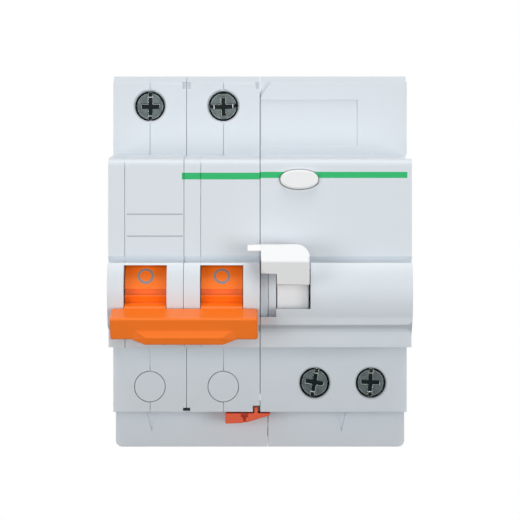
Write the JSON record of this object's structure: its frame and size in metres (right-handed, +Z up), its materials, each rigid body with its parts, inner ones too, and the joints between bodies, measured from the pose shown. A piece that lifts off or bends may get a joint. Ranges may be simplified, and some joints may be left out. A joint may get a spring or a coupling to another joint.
{
  "type": "residual current device",
  "caption": "Rail-mounted breaker with linked orange toggles and a side-mounted residual current unit with a reset lever, test button and screw terminals.",
  "frame": {"origin": "centre of the rail on its front plane, where the breaker meets the add-on", "axes": "+Z up, +X right as seen from the front, the front faces -Y"},
  "size_m": [0.072, 0.0767, 0.094],
  "materials": {
    "case_plastic": "fine matt moulding",
    "handle_plastic": "satin moulding",
    "lever_plastic": "satin moulding",
    "latch_plastic": "satin moulding",
    "inner_plastic": "plain moulding",
    "steel": "zinc plated",
    "dark_steel": "dark plated",
    "copper": "bare copper",
    "silver": "silver contact alloy",
    "fibre": "vulcanised fibre sheet",
    "board": "lacquered laminate",
    "black_plastic": "plain moulding"
  },
  "bodies": {
    "root": {"pole_1_case_left": "case_plastic", "pole_1_case_right": "case_plastic", "pole_2_case_left": "case_plastic", "pole_2_case_right": "case_plastic", "terminal_caps": "case_plastic", "addon_housing": "case_plastic", "addon_side_cover": "case_plastic", "coil_bobbins": "inner_plastic", "pole_rivets": "steel", "toggle_pins": "steel", "arm_pins": "steel", "coil_yokes": "steel", "trip_shaft": "steel", "arc_plates": "steel", "lower_cages": "steel", "lever_pin": "steel", "test_spring": "steel", "lower_screws": "dark_steel", "fixed_contacts": "copper", "trip_coils": "copper", "line_straps": "copper", "load_straps": "copper", "link_prongs": "copper", "load_bars": "copper", "test_contact": "copper", "bimetal_strips": "copper", "fixed_pads": "silver", "arc_frames": "fibre", "circuit_board": "board", "board_parts": "black_plastic", "trip_relay": "black_plastic", "sensing_ring": "black_plastic"},
    "handle": {"toggle_1": "handle_plastic", "toggle_2": "handle_plastic", "handle_bar": "handle_plastic"},
    "links": {"drive_links": "steel"},
    "contacts": {"contact_arms": "copper", "contact_pads": "silver"},
    "trip_bar": {"trip_levers": "inner_plastic"},
    "reset": {"reset_lever": "lever_plastic"},
    "test": {"test_button": "lever_plastic"},
    "latch": {"coupling_latch": "latch_plastic"},
    "breaker_clip": {"breaker_rail_clip": "inner_plastic"},
    "addon_clip": {"addon_rail_clip": "inner_plastic"},
    "plunger_1": {"plunger_1": "steel"},
    "plunger_2": {"plunger_2": "steel"},
    "relay": {"relay_plunger": "steel"},
    "upper_screw_1": {"upper_screw_1": "dark_steel"},
    "upper_screw_2": {"upper_screw_2": "dark_steel"},
    "addon_screw_1": {"addon_screw_1": "dark_steel"},
    "addon_screw_2": {"addon_screw_2": "dark_steel"},
    "upper_cage_1": {"upper_cage_1": "steel"},
    "upper_cage_2": {"upper_cage_2": "steel"},
    "addon_cage_1": {"addon_cage_1": "steel"},
    "addon_cage_2": {"addon_cage_2": "steel"}
  },
  "joints": [
    {"name": "handle_turn", "type": "hinge", "parent": "root", "child": "handle", "pos_m": [-0.018, -0.0512, -0.0096], "axis": [-1, 0, 0], "range_deg": [0, 45]},
    {"name": "links_turn", "type": "hinge", "parent": "handle", "child": "links", "pos_m": [-0.018, -0.04963, -0.01338], "axis": [-1, 0, 0], "range_deg": [-45.68, 0]},
    {"name": "contacts_turn", "type": "hinge", "parent": "root", "child": "contacts", "pos_m": [-0.018, -0.0195, -0.0195], "axis": [-1, 0, 0], "range_deg": [-15, 0]},
    {"name": "trip_turn", "type": "hinge", "parent": "root", "child": "trip_bar", "pos_m": [-0.018, -0.0285, -0.016], "axis": [-1, 0, 0], "range_deg": [0, 8], "stiffness_Nm_per_rad": 0.004},
    {"name": "reset_turn", "type": "hinge", "parent": "root", "child": "reset", "pos_m": [0.006, -0.0512, -0.0096], "axis": [-1, 0, 0], "range_deg": [-28, 0]},
    {"name": "test_press", "type": "slide", "parent": "root", "child": "test", "axis": [0, 1, 0], "range_m": [0, 0.0015], "stiffness_N_per_m": 400, "deforming": ["test_spring"]},
    {"name": "latch_slide", "type": "slide", "parent": "root", "child": "latch", "axis": [0, 0, -1], "range_m": [0, 0.0012]},
    {"name": "breaker_clip_slide", "type": "slide", "parent": "root", "child": "breaker_clip", "axis": [0, 0, -1], "range_m": [0, 0.004], "stiffness_N_per_m": 1000},
    {"name": "addon_clip_slide", "type": "slide", "parent": "root", "child": "addon_clip", "axis": [0, 0, -1], "range_m": [0, 0.004], "stiffness_N_per_m": 1000},
    {"name": "plunger_1_slide", "type": "slide", "parent": "root", "child": "plunger_1", "axis": [0, 0, -1], "range_m": [0, 0.002], "stiffness_N_per_m": 300},
    {"name": "plunger_2_slide", "type": "slide", "parent": "root", "child": "plunger_2", "axis": [0, 0, -1], "range_m": [0, 0.002], "stiffness_N_per_m": 300},
    {"name": "relay_slide", "type": "slide", "parent": "root", "child": "relay", "axis": [-1, 0, 0], "range_m": [0, 0.0018]},
    {"name": "upper_screw_1_turn", "type": "hinge", "parent": "root", "child": "upper_screw_1", "pos_m": [-0.027, -0.04, 0.036], "axis": [0, 1, 0], "range_deg": [0, 1800]},
    {"name": "upper_cage_1_slide", "type": "slide", "parent": "root", "child": "upper_cage_1", "axis": [0, -1, 0], "range_m": [0, 0.004]},
    {"name": "upper_screw_2_turn", "type": "hinge", "parent": "root", "child": "upper_screw_2", "pos_m": [-0.009, -0.04, 0.036], "axis": [0, 1, 0], "range_deg": [0, 1800]},
    {"name": "upper_cage_2_slide", "type": "slide", "parent": "root", "child": "upper_cage_2", "axis": [0, -1, 0], "range_m": [0, 0.004]},
    {"name": "addon_screw_1_turn", "type": "hinge", "parent": "root", "child": "addon_screw_1", "pos_m": [0.0134, -0.04, -0.0319], "axis": [0, 1, 0], "range_deg": [0, 1800]},
    {"name": "addon_cage_1_slide", "type": "slide", "parent": "root", "child": "addon_cage_1", "axis": [0, -1, 0], "range_m": [0, 0.004]},
    {"name": "addon_screw_2_turn", "type": "hinge", "parent": "root", "child": "addon_screw_2", "pos_m": [0.0272, -0.04, -0.0319], "axis": [0, 1, 0], "range_deg": [0, 1800]},
    {"name": "addon_cage_2_slide", "type": "slide", "parent": "root", "child": "addon_cage_2", "axis": [0, -1, 0], "range_m": [0, 0.004]}
  ],
  "couplings": [
    {"joint": "links_turn", "follows": "handle_turn", "ratio": -1.0151},
    {"joint": "contacts_turn", "follows": "handle_turn", "ratio": -0.33333},
    {"joint": "upper_screw_1_turn", "follows": "upper_cage_1_slide", "rad_per_m": 7854},
    {"joint": "upper_screw_2_turn", "follows": "upper_cage_2_slide", "rad_per_m": 7854},
    {"joint": "addon_screw_1_turn", "follows": "addon_cage_1_slide", "rad_per_m": 7854},
    {"joint": "addon_screw_2_turn", "follows": "addon_cage_2_slide", "rad_per_m": 7854}
  ]
}
